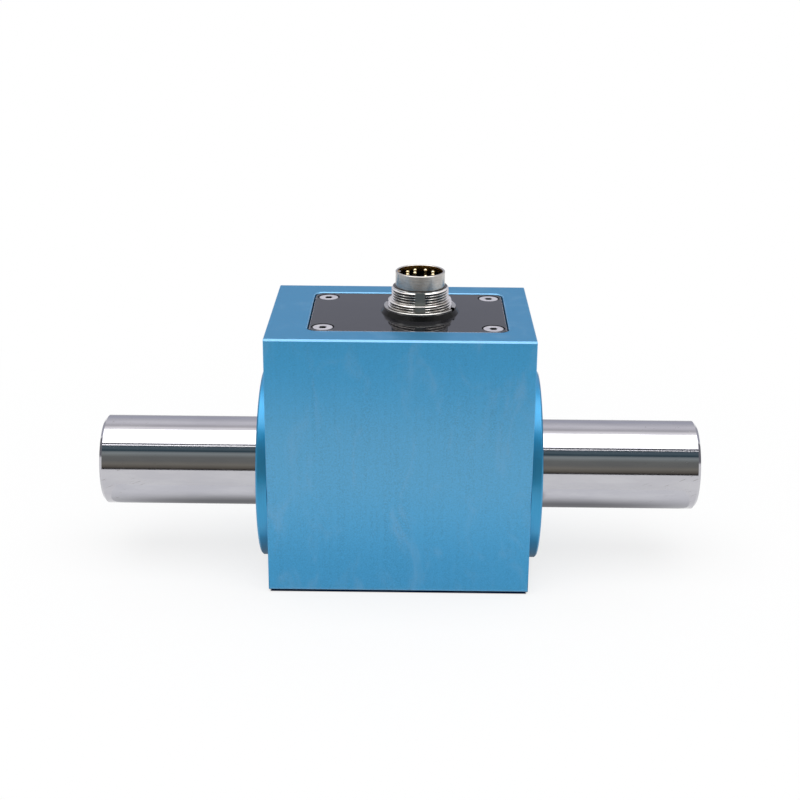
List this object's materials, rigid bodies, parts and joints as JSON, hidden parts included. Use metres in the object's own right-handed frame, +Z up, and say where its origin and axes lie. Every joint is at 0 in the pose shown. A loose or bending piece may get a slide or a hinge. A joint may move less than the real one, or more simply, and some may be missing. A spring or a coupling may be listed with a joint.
{
  "type": "rotary torque sensor",
  "caption": "Block-shaped torque sensor with a ground through shaft on ball bearings, round end caps, a top cover plate and a threaded signal connector.",
  "frame": {"origin": "centre of the housing's bottom mounting face", "axes": "+X along the shaft, +Y towards the back, +Z up out of the base towards the cover"},
  "size_m": [0.169, 0.054, 0.0844],
  "materials": {
    "anodised_blue": "blue anodised, fine vertical grain, satin",
    "ground_steel": "ground and polished",
    "black_plate": "gloss black anodised",
    "screw_steel": "bright stainless",
    "bearing_steel": "fine ground",
    "nickel_plate": "satin nickel plate",
    "contact_gold": "gilt",
    "black_rubber": "matt black",
    "chip_plastic": "moulded black",
    "circuit_board": "green solder mask",
    "ferrite": "sintered, dull",
    "copper_winding": "enamelled wire",
    "plain_aluminium": "turned",
    "wire_insulation": "smooth",
    "gauge_foil": "amber foil",
    "cage_brass": "machined"
  },
  "bodies": {
    "stator": {"housing": "anodised_blue", "end_cap_left": "anodised_blue", "end_cap_right": "anodised_blue", "cap_screws_left": "screw_steel", "cap_screws_right": "screw_steel", "shaft_seal_left": "black_rubber", "shaft_seal_right": "black_rubber", "bearing_outer_left": "bearing_steel", "bearing_outer_right": "bearing_steel", "power_stator_core": "ferrite", "power_stator_coil": "copper_winding", "signal_stator_core": "ferrite", "signal_stator_coil": "copper_winding", "stator_spacer": "plain_aluminium", "coil_leads": "wire_insulation", "main_board": "circuit_board", "board_chips": "chip_plastic", "board_screws": "screw_steel", "cover_gasket": "black_rubber", "cover_plate": "black_plate", "cover_screws": "screw_steel", "connector_shell": "nickel_plate", "connector_insert": "chip_plastic", "connector_pins": "contact_gold", "connector_leads": "wire_insulation", "connector_ring": "black_rubber", "connector_washer": "black_rubber", "connector_nut": "nickel_plate"},
    "rotor": {"torque_shaft": "ground_steel", "strain_gauges": "gauge_foil", "rotor_board": "circuit_board", "power_rotor_core": "ferrite", "power_rotor_coil": "copper_winding", "signal_rotor_core": "ferrite", "signal_rotor_coil": "copper_winding", "bearing_inner_left": "bearing_steel", "bearing_inner_right": "bearing_steel", "retaining_ring_left": "bearing_steel", "retaining_ring_right": "bearing_steel"},
    "balls_left": {"bearing_balls_left": "bearing_steel", "bearing_cage_left": "cage_brass"},
    "balls_right": {"bearing_balls_right": "bearing_steel", "bearing_cage_right": "cage_brass"}
  },
  "joints": [
    {"name": "shaft_spin", "type": "hinge", "parent": "stator", "child": "rotor", "pos_m": [0, 0, 0.028], "axis": [1, 0, 0], "continuous": true},
    {"name": "balls_left_spin", "type": "hinge", "parent": "stator", "child": "balls_left", "pos_m": [-0.0275, 0, 0.028], "axis": [1, 0, 0], "continuous": true},
    {"name": "balls_right_spin", "type": "hinge", "parent": "stator", "child": "balls_right", "pos_m": [0.0275, 0, 0.028], "axis": [1, 0, 0], "continuous": true}
  ],
  "couplings": [
    {"joint": "balls_left_spin", "follows": "shaft_spin", "ratio": 0.45139},
    {"joint": "balls_right_spin", "follows": "shaft_spin", "ratio": 0.45139}
  ]
}
